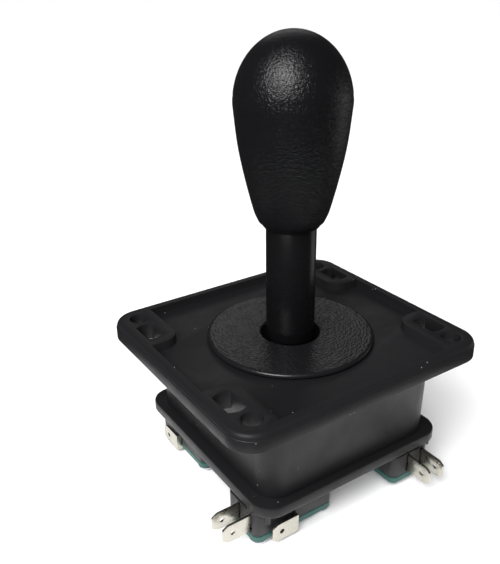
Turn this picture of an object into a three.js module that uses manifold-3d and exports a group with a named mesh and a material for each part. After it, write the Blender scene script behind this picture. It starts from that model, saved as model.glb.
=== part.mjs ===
// Arcade joystick with a bat handle: a moulded mounting plate and box, a sprung stick that
// pivots on a nylon ball, and four snap-action switches laid pinwheel fashion under the base.
// Millimetres, +Z up. The stick stands upright on the heads of its switch screws at z = 0,
// and the shaft's axis is the Z axis.
import * as THREE from "three";
import { mergeVertices } from "three/addons/utils/BufferGeometryUtils.js";
import Module from "manifold-3d";

const wasm = await Module();
wasm.setup();

// ---- driving dimensions ----
// Heights in this file are measured from the top face of the plate's rim, down being negative.
// The whole assembly is lifted by STAND at the end, which puts the screw heads on z = 0.
const GAP = 0.3; // between pieces that touch

const PLATE = { x: 94, y: 85.5, corner: 9, deep: 5.9, rim: 3.6, recess: 2.9, edge: 1.6 };
const PAD = { x: 14.5, y: 27, corner: 6 };
const HOLE = { x: 38.7, y: 34.9, r: 3.25 };
const SLOT = { x: 39.5, y: 24.7, long: 10.5, wide: 6.2 };
const BOX = { x: 67.2, y: 70.4, corner: 7.5, wall: 2.5, draft: 0.5, bottom: -33.2 };
const BASE = { x: 71.6, y: 74.8, corner: 7, top: -33.5, thick: 3.7 };
const GATE = { half: 10.9, corner: 5 };
const STANDOFF_R = 3.3; // round each switch screw, under the base
const PEG = { left: -34.3, outer: -34.2, squeeze: 0.97, r: 0.9, proud: 1.6 };
const CORNER_SCREW = { x: 24.5, y: 28, r: 1.5, headR: 3.1, headDeep: 1.9, long: 15, boss: 3.8 };

const PIVOT = -11; // height of the ball's centre
const BALL = { r: 8, neckR: 6, neckTop: -2.7 };
const CUP = { outerR: 13, bottom: -19, mouthR: 9.9, holeR: 6.6 };
const SHAFT = { r: 4.75, top: 69.5, bottom: -49.6, grooveR: 3.8, groove: -46.9, grooveWide: 1.6 };
const SLEEVE = { r: 8, bottom: -2.4, top: 38 };
const BAT = { r: 17.55, bottom: 36.6, equator: 74, top: 94.3, lipR: 9.1 };
const DUST = { r: 27.7, holeR: 9.8, bottom: -2.6, thick: 1.6 };

const SEAT = { r: 12, holeR: 7, top: -19.3, thick: 1 };
const SPRING = { r: 9.2, wire: 1.3, turns: 4, top: -20.6, bottom: -29.6 };
const FLANGE = { r: 13, top: -29.9, thick: 1.8, bossR: 7.6, bossTop: -26.4, neckR: 7.4, bottom: -40.7 };
const CAM = { half: 12.3, corner: 2.2, top: -41, thick: 4.2 };
const LOWER_WASHER = { r: 9.5, thick: 1 };
const CLIP = { r: 7.6, thick: 1, mouthHalf: 2.6, reliefHalf: 1.4, band: 2 };

// A switch as it lies on the -Y side of the base; the other three are this one turned.
const SWITCH = { left: -36.2, outer: -32.2, long: 29.8, wide: 15.9, top: -38.9, corner: 2.2 };
const CASE_THICK = 8;
const COVER_THICK = 2;
const PIN = { inset: 2.8, r: 1.4, headR: 2.8, headThick: 1.7, slotWide: 0.8, slotDeep: 0.7, skin: 0.8 };
const PLUNGER = { fromEnd: 3.9, r: 1.6, proud: 1.7, deep: 3.4, travel: 1.6, drop: 0.3 };
const BLADE = { wide: 6.3, thick: 0.8, long: 9.8, tip: 4, hole: 0.85, root: 0.9 };
const BLADE_TIP = { taper: 1.9, eye: 3.4 }; // how far back the taper and the eye lie
const THROW = { first: 3, spacing: 6.2, rise: 3.3 }; // the two blades at the end of a switch
const COM = { along: 14.3, standOff: 1.6, rise: -0.7 }; // the blade on the outer face
const STAND = -(SWITCH.top - CASE_THICK - COVER_THICK - 2 * GAP - PIN.headThick);

// ---- finishes ----
const finish = (color, roughness, metalness) =>
  new THREE.MeshStandardMaterial({ color, roughness, metalness });
const FINISH = {
  housing: finish(0x161618, 0.5, 0),
  bat: finish(0x0e0e0f, 0.45, 0),
  sleeve: finish(0x0a0a0b, 0.35, 0),
  dust: finish(0x121214, 0.4, 0),
  nylon: finish(0xe8e4d8, 0.5, 0),
  steel: finish(0xb8bbc0, 0.3, 1),
  switchCase: finish(0x1a1a1c, 0.55, 0),
  cover: finish(0x1f5f58, 0.5, 0),
  plunger: finish(0xb32a22, 0.45, 0),
  blade: finish(0xd9d6cc, 0.28, 1),
};

// ---- solids from three.js geometry ----
// Welds a geometry's vertices, drops the slivers that a pole leaves, and makes a solid of it.
function solid(geometry) {
  geometry.deleteAttribute("normal");
  geometry.deleteAttribute("uv");
  const welded = mergeVertices(geometry, 1e-4);
  const index = welded.index.array;
  const kept = [];
  for (let i = 0; i < index.length; i += 3) {
    const [a, b, c] = [index[i], index[i + 1], index[i + 2]];
    if (a !== b && b !== c && c !== a) kept.push(a, b, c);
  }
  return new wasm.Manifold(
    new wasm.Mesh({
      numProp: 3,
      vertProperties: welded.attributes.position.array,
      triVerts: new Uint32Array(kept),
    }),
  );
}

// A flat shape pulled up from z = low to z = high.
function prism(shape, low, high, curveSegments = 6) {
  const depth = high - low;
  const geometry = new THREE.ExtrudeGeometry(shape, { depth, bevelEnabled: false, curveSegments });
  return solid(geometry.translate(0, 0, low));
}

// A profile of [radius, height] points, bottom to top on the outside, turned about the Z axis.
function turned(profile, segments = 24) {
  const points = profile.map(([r, z]) => new THREE.Vector2(r, z));
  return solid(new THREE.LatheGeometry(points, segments).rotateX(Math.PI / 2));
}

const disc = (r, low, high, segments) =>
  turned([[0, low], [r, low], [r, high], [0, high]], segments);

// A disc with a hole: r outside, hole inside.
const ring = (r, hole, low, high, segments) =>
  turned([[hole, low], [r, low], [r, high], [hole, high], [hole, low]], segments);

// A rectangle with round corners, centred on (cx, cy).
function roundedRect(width, height, corner, cx = 0, cy = 0) {
  const [x, y] = [width / 2 - corner, height / 2 - corner];
  const quarter = Math.PI / 2;
  const shape = new THREE.Shape();
  shape.absarc(cx + x, cy - y, corner, -quarter, 0);
  shape.absarc(cx + x, cy + y, corner, 0, quarter);
  shape.absarc(cx - x, cy + y, corner, quarter, 2 * quarter);
  shape.absarc(cx - x, cy - y, corner, 2 * quarter, 3 * quarter);
  return shape;
}

// A round hole with two flats, long along Y.
function doubleD(long, wide, cx, cy) {
  const r = long / 2;
  const half = Math.acos(wide / long);
  const shape = new THREE.Shape();
  shape.absarc(cx, cy, r, half, Math.PI - half);
  shape.absarc(cx, cy, r, Math.PI + half, 2 * Math.PI - half);
  return shape;
}

const box = (x0, x1, y0, y1, z0, z1) =>
  solid(
    new THREE.BoxGeometry(x1 - x0, y1 - y0, z1 - z0).translate(
      (x0 + x1) / 2, (y0 + y1) / 2, (z0 + z1) / 2,
    ),
  );

const union = (solids) => solids.reduce((whole, piece) => whole.add(piece));

// A named mesh from a finished solid.
function piece(name, made, material) {
  const { numProp, vertProperties, triVerts } = made.getMesh();
  const position = new Float32Array((vertProperties.length / numProp) * 3);
  for (let i = 0; i < position.length / 3; i += 1)
    position.set(vertProperties.subarray(i * numProp, i * numProp + 3), i * 3);
  const geometry = new THREE.BufferGeometry();
  geometry.setAttribute("position", new THREE.BufferAttribute(position, 3));
  geometry.setIndex(new THREE.BufferAttribute(triVerts, 1));
  geometry.computeVertexNormals();
  const mesh = new THREE.Mesh(geometry, material);
  mesh.name = name;
  return mesh;
}

const CORNERS = [[-1, -1], [1, -1], [1, 1], [-1, 1]];
const QUARTERS = [0, 1, 2, 3];
const quarterTurn = ([x, y], count) =>
  QUARTERS.slice(0, count).reduce(([u, v]) => [-v, u], [x, y]);

// ---- the housing: mounting plate, box and ball cup in one moulding ----
const cornerBossPlaces = QUARTERS.map((k) => quarterTurn([-CORNER_SCREW.x, -CORNER_SCREW.y], k));

// The outer block of the plate, with its top edge eased over.
function plateBlank() {
  const { x, y, corner, deep, edge } = PLATE;
  const easing = { bevelThickness: edge, bevelSize: edge, bevelOffset: -edge, bevelSegments: 3 };
  const eased = new THREE.ExtrudeGeometry(roundedRect(x, y, corner), {
    depth: deep - 2 * edge,
    curveSegments: 6,
    ...easing,
  }).translate(0, 0, edge - deep);
  return solid(eased).add(prism(roundedRect(x, y, corner), -deep, -edge - 0.2));
}

// What is cut out of the plate's top: the sunk floor, less the four corner pads.
function plateRecess() {
  const { x, y, corner, rim, recess } = PLATE;
  const inside = roundedRect(x - 2 * rim, y - 2 * rim, corner - rim);
  const pads = CORNERS.map(([sx, sy]) => {
    const centre = [sx * (x - PAD.x) / 2, sy * (y - PAD.y) / 2];
    return prism(roundedRect(PAD.x, PAD.y, PAD.corner, ...centre), -recess - 1, 2);
  });
  return prism(inside, -recess, 1).subtract(union(pads));
}

function mountingHoles() {
  const { deep } = PLATE;
  return union(
    CORNERS.flatMap(([sx, sy]) => [
      disc(HOLE.r, -deep - 1, 1, 16).translate([sx * HOLE.x, sy * HOLE.y, 0]),
      prism(doubleD(SLOT.long, SLOT.wide, sx * SLOT.x, sy * SLOT.y), -deep - 1, 1),
    ]),
  );
}

// The box narrows a little towards its open bottom, so that it leaves the mould.
function boxShell() {
  const { x, y, corner, wall, draft, bottom } = BOX;
  const top = -PLATE.deep + 0.5;
  const tapered = (inset, low, high) => {
    const outline = roundedRect(x - 2 * inset, y - 2 * inset, Math.max(corner - inset, 1));
    const geometry = new THREE.ExtrudeGeometry(outline, {
      depth: high - low,
      bevelEnabled: false,
      curveSegments: 6,
    }).translate(0, 0, low);
    const place = geometry.attributes.position;
    for (let i = 0; i < place.count; i += 1) {
      const down = (top - place.getZ(i)) / (top - bottom);
      place.setX(i, place.getX(i) * (1 - (2 * draft * down) / x));
      place.setY(i, place.getY(i) * (1 - (2 * draft * down) / y));
    }
    return solid(geometry);
  };
  return tapered(0, bottom, top).subtract(tapered(wall, bottom - 1, -PLATE.deep));
}

// Hangs under the plate's floor and holds the pivot ball, which drops in from above.
const ballCup = () => disc(CUP.outerR, CUP.bottom, -PLATE.recess - 0.5);

function ballSocket() {
  const r = BALL.r + GAP;
  const holeTop = PIVOT - Math.sqrt(r * r - CUP.holeR * CUP.holeR);
  const seat = [];
  const steps = 4;
  const low = Math.asin((holeTop - PIVOT) / r);
  for (let i = 0; i <= steps; i += 1) {
    const angle = low * (1 - i / steps);
    seat.push([r * Math.cos(angle), PIVOT + r * Math.sin(angle)]);
  }
  return turned([
    [0, CUP.bottom - 1], [CUP.holeR, CUP.bottom - 1], ...seat,
    [CUP.mouthR, PIVOT + 4], [CUP.mouthR, 1], [0, 1],
  ]);
}

function topHousing() {
  const bosses = cornerBossPlaces.map(([x, y]) =>
    disc(CORNER_SCREW.boss, BOX.bottom, -PLATE.deep + 0.5, 12).translate([x, y, 0]),
  );
  const pilots = cornerBossPlaces.map(([x, y]) =>
    disc(CORNER_SCREW.r + GAP, BOX.bottom - 1, BOX.bottom + CORNER_SCREW.long, 8)
      .translate([x, y, 0]),
  );
  return union([plateBlank(), boxShell(), ballCup(), ...bosses])
    .subtract(union([plateRecess(), mountingHoles(), ballSocket(), ...pilots]));
}

// ---- the base that closes the box, gates the stick and carries the switches ----
const baseBottom = BASE.top - BASE.thick;
const pinPlaces = [PIN.inset, SWITCH.long - PIN.inset].map((along) => [
  SWITCH.left + along,
  SWITCH.outer + PIN.inset,
]);

function bottomPlate() {
  const slab = prism(roundedRect(BASE.x, BASE.y, BASE.corner), baseBottom, BASE.top);
  const gate = prism(
    roundedRect(2 * GATE.half, 2 * GATE.half, GATE.corner), baseBottom - 1, BASE.top + 1,
  );
  const places = QUARTERS.flatMap((k) => pinPlaces.map((at) => quarterTurn(at, k)));
  const standoffs = places.map(([x, y]) =>
    disc(STANDOFF_R, SWITCH.top + GAP, baseBottom + 0.5, 12).translate([x, y, 0]),
  );
  const pegs = QUARTERS.map((k) => {
    const [x, y] = quarterTurn([PEG.left, PEG.outer], k);
    return disc(PEG.r, SWITCH.top - PEG.proud, baseBottom + 0.5, 8)
      .translate([x * PEG.squeeze, y, 0]);
  });
  const pinHoles = places.map(([x, y]) =>
    disc(PIN.r + GAP, SWITCH.top - 1, BASE.top - PIN.skin, 8).translate([x, y, 0]),
  );
  const sinks = cornerBossPlaces.map(([x, y]) => {
    const { r, headR, headDeep } = CORNER_SCREW;
    return turned([
      [0, baseBottom - 1], [headR + GAP, baseBottom - 1], [headR + GAP, baseBottom],
      [r + GAP, baseBottom + headDeep + GAP], [r + GAP, BASE.top + 1], [0, BASE.top + 1],
    ], 12).translate([x, y, 0]);
  });
  return union([slab, ...standoffs, ...pegs]).subtract(union([gate, ...pinHoles, ...sinks]));
}

function cornerScrew([x, y]) {
  const { r, headR, headDeep, long } = CORNER_SCREW;
  const driveR = 1.2;
  const driveSides = 4;
  const body = turned([
    [0, baseBottom], [headR, baseBottom], [r, baseBottom + headDeep],
    [r, baseBottom + long - 1], [0, baseBottom + long],
  ], 12);
  const drive = disc(driveR, baseBottom - 1, baseBottom + 1, driveSides);
  return body.subtract(drive).translate([x, y, 0]);
}

// ---- the stick ----
// Dome above the widest line, long taper below it, and a small cone at the lip.
function batHandle() {
  const { r, bottom, equator, top, lipR } = BAT;
  const bore = SHAFT.r + GAP;
  const counterbore = SLEEVE.r + GAP;
  const taper = new THREE.SplineCurve([
    new THREE.Vector2(10.1, bottom + 1.4),
    new THREE.Vector2(12, bottom + 5.9),
    new THREE.Vector2(14.5, bottom + 16.1),
    new THREE.Vector2(16.35, bottom + 25.9),
    new THREE.Vector2(r, equator),
  ]).getPoints(9);
  const between = 0.35; // an extra ring early in each quarter
  const dome = QUARTERS.flatMap((k) => [k + between, k + 1]).map((step) => {
    const angle = (step / 4) * (Math.PI / 2);
    return [r * Math.cos(angle), equator + (top - equator) * Math.sin(angle)];
  });
  const outside = turned([
    [0, bottom], [lipR, bottom], ...taper.map((p) => [p.x, p.y]), ...dome.slice(0, -1), [0, top],
  ], 36);
  const inside = turned([
    [0, bottom - 1], [counterbore, bottom - 1], [counterbore, SLEEVE.top + GAP],
    [bore, SLEEVE.top + GAP], [bore, SHAFT.top + GAP], [0, SHAFT.top + GAP],
  ]);
  return outside.subtract(inside);
}

function steelShaft() {
  const { r, top, bottom, grooveR, groove, grooveWide } = SHAFT;
  const chamfer = 0.8;
  return turned([
    [0, bottom], [r - chamfer, bottom], [r, bottom + chamfer],
    [r, groove - grooveWide], [grooveR, groove - grooveWide], [grooveR, groove], [r, groove],
    [r, top - chamfer], [r - chamfer, top], [0, top],
  ], 20);
}

function pivotBall() {
  const { r, neckR, neckTop } = BALL;
  const bore = SHAFT.r + GAP;
  const steps = 8;
  const low = -Math.acos((bore + 0.6) / r);
  const high = Math.acos(neckR / r);
  const arc = [];
  for (let i = 0; i <= steps; i += 1) {
    const angle = low + ((high - low) * i) / steps;
    arc.push([r * Math.cos(angle), PIVOT + r * Math.sin(angle)]);
  }
  const foot = arc[0][1];
  return turned([[bore, foot], ...arc, [neckR, neckTop], [bore, neckTop], [bore, foot]]);
}

// The washer lies on the plate's floor with its outer edge rounded over.
function dustWasher() {
  const { r, holeR, bottom, thick } = DUST;
  const ease = 0.7;
  return turned([
    [holeR, bottom], [r - 0.2, bottom], [r, bottom + 0.3], [r, bottom + thick - ease],
    [r - 0.25, bottom + thick - 0.2], [r - ease, bottom + thick],
    [holeR + 0.3, bottom + thick], [holeR, bottom + thick - 0.3], [holeR, bottom],
  ], 44);
}

class Helix extends THREE.Curve {
  getPoint(t) {
    const { r, wire, turns, top, bottom } = SPRING;
    const angle = 2 * Math.PI * turns * t;
    const height = top - wire / 2 - (top - bottom - wire) * t;
    return new THREE.Vector3(r * Math.cos(angle), r * Math.sin(angle), height);
  }
}

function centeringSpring() {
  const wire = new THREE.Shape().absarc(0, 0, SPRING.wire / 2, 0, 2 * Math.PI);
  const stepsPerTurn = 14;
  return solid(new THREE.ExtrudeGeometry(wire, {
    steps: SPRING.turns * stepsPerTurn,
    extrudePath: new Helix(),
    curveSegments: 3,
    bevelEnabled: false,
  }));
}

// Spreads the spring's push on the shaft; its neck runs down through the gate.
function centeringFlange() {
  const { r, top, thick, bossR, bossTop, neckR, bottom } = FLANGE;
  const bore = SHAFT.r + GAP;
  return turned([
    [bore, bottom], [neckR, bottom], [neckR, top - thick], [r, top - thick], [r, top],
    [bossR, top], [bossR, bossTop], [bore, bossTop], [bore, bottom],
  ]);
}

// The square block that presses the switches.
function switchActuator() {
  const { half, corner, top, thick } = CAM;
  const block = prism(roundedRect(2 * half, 2 * half, corner), top - thick, top);
  return block.subtract(disc(SHAFT.r + GAP, top - thick - 1, top + 1, 20));
}

// A spring clip with an open side, pushed into the shaft's groove.
function eClip() {
  const top = SHAFT.groove - GAP;
  const body = disc(CLIP.r, top - CLIP.thick, top, 24);
  const seat = disc(SHAFT.grooveR + GAP, top - 2, top + 1, 20);
  const { r, mouthHalf, reliefHalf, band } = CLIP;
  const mouth = box(0, r + 1, -mouthHalf, mouthHalf, top - 2, top + 1);
  const relief = box(-r + band, 0, -reliefHalf, reliefHalf, top - 2, top + 1);
  return body.subtract(union([seat, mouth, relief]));
}

// ---- one switch, as it lies on the -Y side ----
const caseBottom = SWITCH.top - CASE_THICK;
const coverTop = caseBottom - GAP;
const coverBottom = coverTop - COVER_THICK;
const plungerX = SWITCH.left + SWITCH.long - PLUNGER.fromEnd;
const plungerZ = SWITCH.top - CASE_THICK / 2 - PLUNGER.drop;
const innerY = SWITCH.outer + SWITCH.wide;
const throwLow = coverBottom + THROW.rise;
const comLow = coverBottom + COM.rise;
const throwBlades = [THROW.first, THROW.first + THROW.spacing].map((y) => SWITCH.outer + y);
const comX = SWITCH.left + COM.along; // where the common blade leaves the outer face

function switchOutline(inset = 0) {
  const { left, outer, long, wide, corner } = SWITCH;
  const centre = [left + long / 2, outer + wide / 2];
  return roundedRect(long - 2 * inset, wide - 2 * inset, corner, ...centre);
}

const pinHolesThrough = (low, high) =>
  union(pinPlaces.map(([x, y]) => disc(PIN.r + GAP, low, high, 8).translate([x, y, 0])));

// A round bar along Y, centred on (x, z).
const barAlongY = (r, y0, y1, x, z, segments) =>
  disc(r, y0, y1, segments).rotate([-90, 0, 0]).translate([x, 0, z]);

function comSlotBetween(low, high) {
  const clear = BLADE.thick / 2 + GAP;
  const root = SWITCH.outer + BLADE.root + GAP;
  return box(comX - clear, comX + clear, SWITCH.outer - 1, root, low, high);
}

function switchCase() {
  const body = prism(switchOutline(), caseBottom, SWITCH.top, 3);
  const well = barAlongY(
    PLUNGER.r + GAP, innerY - PLUNGER.deep - PLUNGER.travel, innerY + 1, plungerX, plungerZ, 12,
  );
  const root = BLADE.root + GAP;
  const clear = BLADE.thick / 2 + GAP;
  const endSlots = throwBlades.map((y) =>
    box(
      SWITCH.left - 1, SWITCH.left + root, y - clear, y + clear,
      throwLow - GAP, throwLow + BLADE.wide + GAP,
    ),
  );
  const holes = pinHolesThrough(caseBottom - 1, SWITCH.top + 1);
  const comSlot = comSlotBetween(caseBottom - 1, comLow + BLADE.wide + GAP);
  return body.subtract(union([well, holes, comSlot, ...endSlots]));
}

// The cover carries the lower part of the common blade's slot.
function switchCover() {
  const body = prism(switchOutline(), coverBottom, coverTop, 3);
  const [low, high] = [coverBottom - 1, coverTop + 1];
  return body.subtract(union([pinHolesThrough(low, high), comSlotBetween(low, high)]));
}

function switchPlunger() {
  const { r, proud, deep } = PLUNGER;
  const [foot, tip] = [innerY - deep, innerY + proud];
  const pin = turned([
    [0, foot], [r, foot], [r, tip - 0.7], [r * 0.75, tip - 0.2], [0, tip],
  ], 12);
  return pin.rotate([-90, 0, 0]).translate([plungerX, 0, plungerZ]);
}

// A flat blade in the XZ plane: its tip points along -X from x = 0, with shoulders at the root.
function bladeFlat(length) {
  const half = BLADE.wide / 2;
  const tapered = -length + BLADE_TIP.taper;
  const shape = new THREE.Shape();
  shape.moveTo(BLADE.root, -half);
  shape.lineTo(BLADE.root, half);
  shape.lineTo(tapered, half);
  shape.lineTo(-length, BLADE.tip / 2);
  shape.lineTo(-length, -BLADE.tip / 2);
  shape.lineTo(tapered, -half);
  const flat = prism(shape, -BLADE.thick / 2, BLADE.thick / 2);
  const eye = disc(BLADE.hole, -1, 1, 8).translate([-length + BLADE_TIP.eye, 0, 0]);
  return flat.subtract(eye).rotate([90, 0, 0]);
}

const throwBlade = (y) =>
  bladeFlat(BLADE.long).translate([SWITCH.left, y, throwLow + BLADE.wide / 2]);

// The common blade comes straight out of the outer face and turns to lie along it.
function comBlade() {
  const bend = BLADE.thick / 2;
  const y = SWITCH.outer - COM.standOff;
  const run = bladeFlat(BLADE.long + bend - 0.5).subtract(
    box(0, BLADE.root + 1, -1, 1, -BLADE.wide, BLADE.wide),
  ).translate([comX + bend, y, comLow + BLADE.wide / 2]);
  const leg = box(
    comX - bend, comX + bend, y - bend, SWITCH.outer + BLADE.root, comLow, comLow + BLADE.wide,
  );
  return run.add(leg);
}

function switchPin([x, y]) {
  const seat = coverBottom - GAP;
  const { r, headR, headThick, slotWide, slotDeep } = PIN;
  const end = BASE.top - PIN.skin - GAP;
  const crown = seat - headThick;
  const body = turned([
    [0, crown], [headR * 0.6, crown], [headR, seat - headThick * 0.45],
    [headR, seat], [r, seat], [r, end], [0, end],
  ], 12);
  const slot = box(-headR, headR, -slotWide / 2, slotWide / 2, crown - 1, crown + slotDeep);
  return body.subtract(slot).translate([x, y, 0]);
}

function microswitch(side) {
  const name = (what) => `switch_${side}_${what}`;
  const group = new THREE.Group();
  group.add(
    piece(name("case"), switchCase(), FINISH.switchCase),
    piece(name("cover"), switchCover(), FINISH.cover),
    piece(name("plunger"), switchPlunger(), FINISH.plunger),
    piece(name("com_blade"), comBlade(), FINISH.blade),
    piece(name("nc_blade"), throwBlade(throwBlades[0]), FINISH.blade),
    piece(name("no_blade"), throwBlade(throwBlades[1]), FINISH.blade),
    piece(name("screw_outer"), switchPin(pinPlaces[0]), FINISH.steel),
    piece(name("screw_inner"), switchPin(pinPlaces[1]), FINISH.steel),
  );
  return group;
}

// ---- assembly ----
const joystick = new THREE.Group();
joystick.position.z = STAND;

const camBottom = CAM.top - CAM.thick;
const lowerTop = camBottom - GAP;
joystick.add(
  piece("top_housing", topHousing(), FINISH.housing),
  piece("bottom_plate", bottomPlate(), FINISH.housing),
  piece("dust_washer", dustWasher(), FINISH.dust),
  piece("pivot_ball", pivotBall(), FINISH.housing),
  piece("steel_shaft", steelShaft(), FINISH.steel),
  piece(
    "shaft_sleeve", ring(SLEEVE.r, SHAFT.r + GAP, SLEEVE.bottom, SLEEVE.top, 28), FINISH.sleeve,
  ),
  piece("bat_handle", batHandle(), FINISH.bat),
  piece("spring_seat", ring(SEAT.r, SEAT.holeR, SEAT.top - SEAT.thick, SEAT.top, 20), FINISH.steel),
  piece("centering_spring", centeringSpring(), FINISH.steel),
  piece("centering_flange", centeringFlange(), FINISH.nylon),
  piece("switch_actuator", switchActuator(), FINISH.nylon),
  piece(
    "lower_washer",
    ring(LOWER_WASHER.r, SHAFT.r + GAP, lowerTop - LOWER_WASHER.thick, lowerTop, 20),
    FINISH.steel,
  ),
  piece("e_clip", eClip(), FINISH.steel),
);
cornerBossPlaces.forEach((place, k) =>
  joystick.add(piece(`corner_screw_${k + 1}`, cornerScrew(place), FINISH.steel)),
);
["front", "right", "back", "left"].forEach((side, k) => {
  const group = microswitch(side);
  group.rotation.z = (k * Math.PI) / 2;
  joystick.add(group);
});

export default joystick;
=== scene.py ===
# %% [markdown]
# An arcade joystick, dressed around its engineering model
#
# The real object is a black moulded stick assembly that bolts under a control panel. Nearly
# everything that shows is black plastic, so the whole look rests on small things: how round
# each edge is, how fine the grain of each part is, and how sharp its highlight is. This
# script loads the fixed engineering frame, then rebuilds each part finely in its place.

# %% The frame
import math

import bmesh
import bpy
from mathutils import Matrix, Vector


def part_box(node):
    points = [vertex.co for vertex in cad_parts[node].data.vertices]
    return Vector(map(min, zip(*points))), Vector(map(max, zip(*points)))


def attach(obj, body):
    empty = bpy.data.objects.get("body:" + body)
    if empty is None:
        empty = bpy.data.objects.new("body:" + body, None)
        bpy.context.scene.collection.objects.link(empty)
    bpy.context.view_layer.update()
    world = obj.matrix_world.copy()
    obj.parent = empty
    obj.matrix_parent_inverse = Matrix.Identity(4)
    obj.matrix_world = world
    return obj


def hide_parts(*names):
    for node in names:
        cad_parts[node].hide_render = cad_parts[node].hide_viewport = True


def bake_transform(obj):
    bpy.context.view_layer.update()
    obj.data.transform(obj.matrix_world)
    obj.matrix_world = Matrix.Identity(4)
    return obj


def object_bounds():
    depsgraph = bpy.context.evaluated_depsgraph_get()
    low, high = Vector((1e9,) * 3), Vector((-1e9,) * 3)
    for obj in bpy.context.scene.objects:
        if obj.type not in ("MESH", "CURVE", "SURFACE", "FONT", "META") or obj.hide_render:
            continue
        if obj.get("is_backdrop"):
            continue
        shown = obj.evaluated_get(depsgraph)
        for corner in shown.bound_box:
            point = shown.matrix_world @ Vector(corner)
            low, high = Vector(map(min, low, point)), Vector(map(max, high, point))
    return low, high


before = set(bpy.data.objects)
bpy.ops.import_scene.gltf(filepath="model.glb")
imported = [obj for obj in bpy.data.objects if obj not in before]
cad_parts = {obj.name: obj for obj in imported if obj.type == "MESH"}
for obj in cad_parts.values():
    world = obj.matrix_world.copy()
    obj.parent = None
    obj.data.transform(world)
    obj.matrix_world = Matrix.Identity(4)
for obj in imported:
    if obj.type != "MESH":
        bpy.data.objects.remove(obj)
CAD_LOW, CAD_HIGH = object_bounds()
MM = 0.001
HOUSING_LOW, HOUSING_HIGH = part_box("top_housing")
RIM = HOUSING_HIGH.z  # the height of the plate's rim; most heights below are measured from it
SIDES = ("front", "right", "back", "left")
print("rim height", round(RIM / MM, 2), "mm, whole object", [round(v, 4) for v in CAD_HIGH - CAD_LOW])

# %% [markdown]
# Camera, light and floor
#
# A product shot on white. A very soft sun gives the even white floor, and small soft boxes
# give each highlight its own source. Black plastic shows what it reflects more than its own
# colour, so only the camera sees the room as white. The object reflects a dim room, the soft
# boxes and a sheet of white right under it: that lifts the sides of the box and leaves the
# handle properly black.

# %% Camera
CAMERA_AT = Vector((-123.5, -164.2, 164.6)) * MM
LOOK_AT = Vector((-1.5, 21.7, 60.0)) * MM
LENS_MM = 44.7
ROLL = math.radians(-0.9)

camera_data = bpy.data.cameras.new("camera")
camera_data.lens = LENS_MM
camera_data.sensor_width = 36
camera_data.clip_start = 0.01
camera = bpy.data.objects.new("camera", camera_data)
bpy.context.scene.collection.objects.link(camera)
camera.location = CAMERA_AT
facing = (LOOK_AT - CAMERA_AT).to_track_quat("-Z", "Y").to_matrix().to_4x4()
camera.matrix_world = Matrix.Translation(CAMERA_AT) @ facing @ Matrix.Rotation(ROLL, 4, "Z")
bpy.context.scene.camera = camera
bpy.context.scene.view_settings.view_transform = "Standard"
print("camera", round((LOOK_AT - CAMERA_AT).length / MM), "mm from the point it looks at")

# %% Lights
def soft_box(name, at, aim, size, power):
    """A square area light at a place, turned to face another."""
    data = bpy.data.lights.new(name, "AREA")
    data.size = size
    data.energy = power
    light = bpy.data.objects.new(name, data)
    light.location = at
    light.rotation_euler = (Vector(aim) - Vector(at)).to_track_quat("-Z", "Y").to_euler()
    bpy.context.scene.collection.objects.link(light)


KEY_FROM = Vector((-0.66, -0.36, 0.72))
KEY_POWER = 5.0
KEY_ANGLE = math.radians(100)
SOFT_BOXES = (  # name, place, aim, size in metres, power in watts
    ("dome_light", (-0.40, -0.22, 0.53), (0, 0, 0.13), 0.34, 3.9),
    ("right_edge", (0.42, -0.12, 0.06), (0, 0, 0.10), 0.22, 0.10),
    ("back_wall", (0.48, 0.72, 0.52), (0, 0, 0.07), 0.4, 0.24),
)
key_data = bpy.data.lights.new("key", "SUN")
key_data.energy = KEY_POWER
key_data.angle = KEY_ANGLE
key = bpy.data.objects.new("key", key_data)
key.rotation_euler = KEY_FROM.to_track_quat("Z", "Y").to_euler()
key.visible_glossy = False
bpy.context.scene.collection.objects.link(key)
for box in SOFT_BOXES:
    soft_box(*box)
print("soft boxes", [box[0] for box in SOFT_BOXES])

# %% Room and floor
ROOM = 0.035  # how bright the room is where the object reflects it
BACKDROP = 1.0  # how bright the camera sees it
world = bpy.data.worlds.new("studio")
world.use_nodes = True
sky = world.node_tree
seen, choice = sky.nodes.new("ShaderNodeLightPath"), sky.nodes.new("ShaderNodeMix")
choice.inputs["A"].default_value = ROOM
choice.inputs["B"].default_value = BACKDROP
sky.links.new(seen.outputs["Is Camera Ray"], choice.inputs["Factor"])
sky.links.new(choice.outputs["Result"], sky.nodes["Background"].inputs["Strength"])
sky.nodes["Background"].inputs["Color"].default_value = (1, 1, 1, 1)
bpy.context.scene.world = world


def new_object(name, mesh):
    made = bpy.data.objects.new(name, mesh)
    bpy.context.scene.collection.objects.link(made)
    return made


def ground(name, half, drop):
    """A square of floor, half as long as its side, a little under the lowest piece."""
    mesh = bpy.data.meshes.new(name)
    mesh.from_pydata([(-half, -half, 0), (half, -half, 0), (half, half, 0), (-half, half, 0)],
                     [], [(0, 1, 2, 3)])
    made = new_object(name, mesh)
    made.location.z = CAD_LOW.z - drop * MM
    made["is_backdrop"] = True
    return made


FLOOR_HALF, FLOOR_DROP = 6.0, 0.25  # metres, millimetres
SHEET_HALF, SHEET_DROP = 0.088, 0.15
floor = ground("floor", FLOOR_HALF, FLOOR_DROP)
floor.visible_glossy = False
sheet = ground("white_sheet", SHEET_HALF, SHEET_DROP)
print("floor", 2 * FLOOR_HALF, "m wide, white sheet", 2 * SHEET_HALF, "m wide")

# %% [markdown]
# Materials
#
# Every plastic here is the same idea at a different grain: a Principled shader whose bump
# comes from noise on Object coordinates, and whose roughness wanders a little. Object
# coordinates are in metres, so a grain of g millimetres is a noise scale of about 1000 / g.

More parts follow.
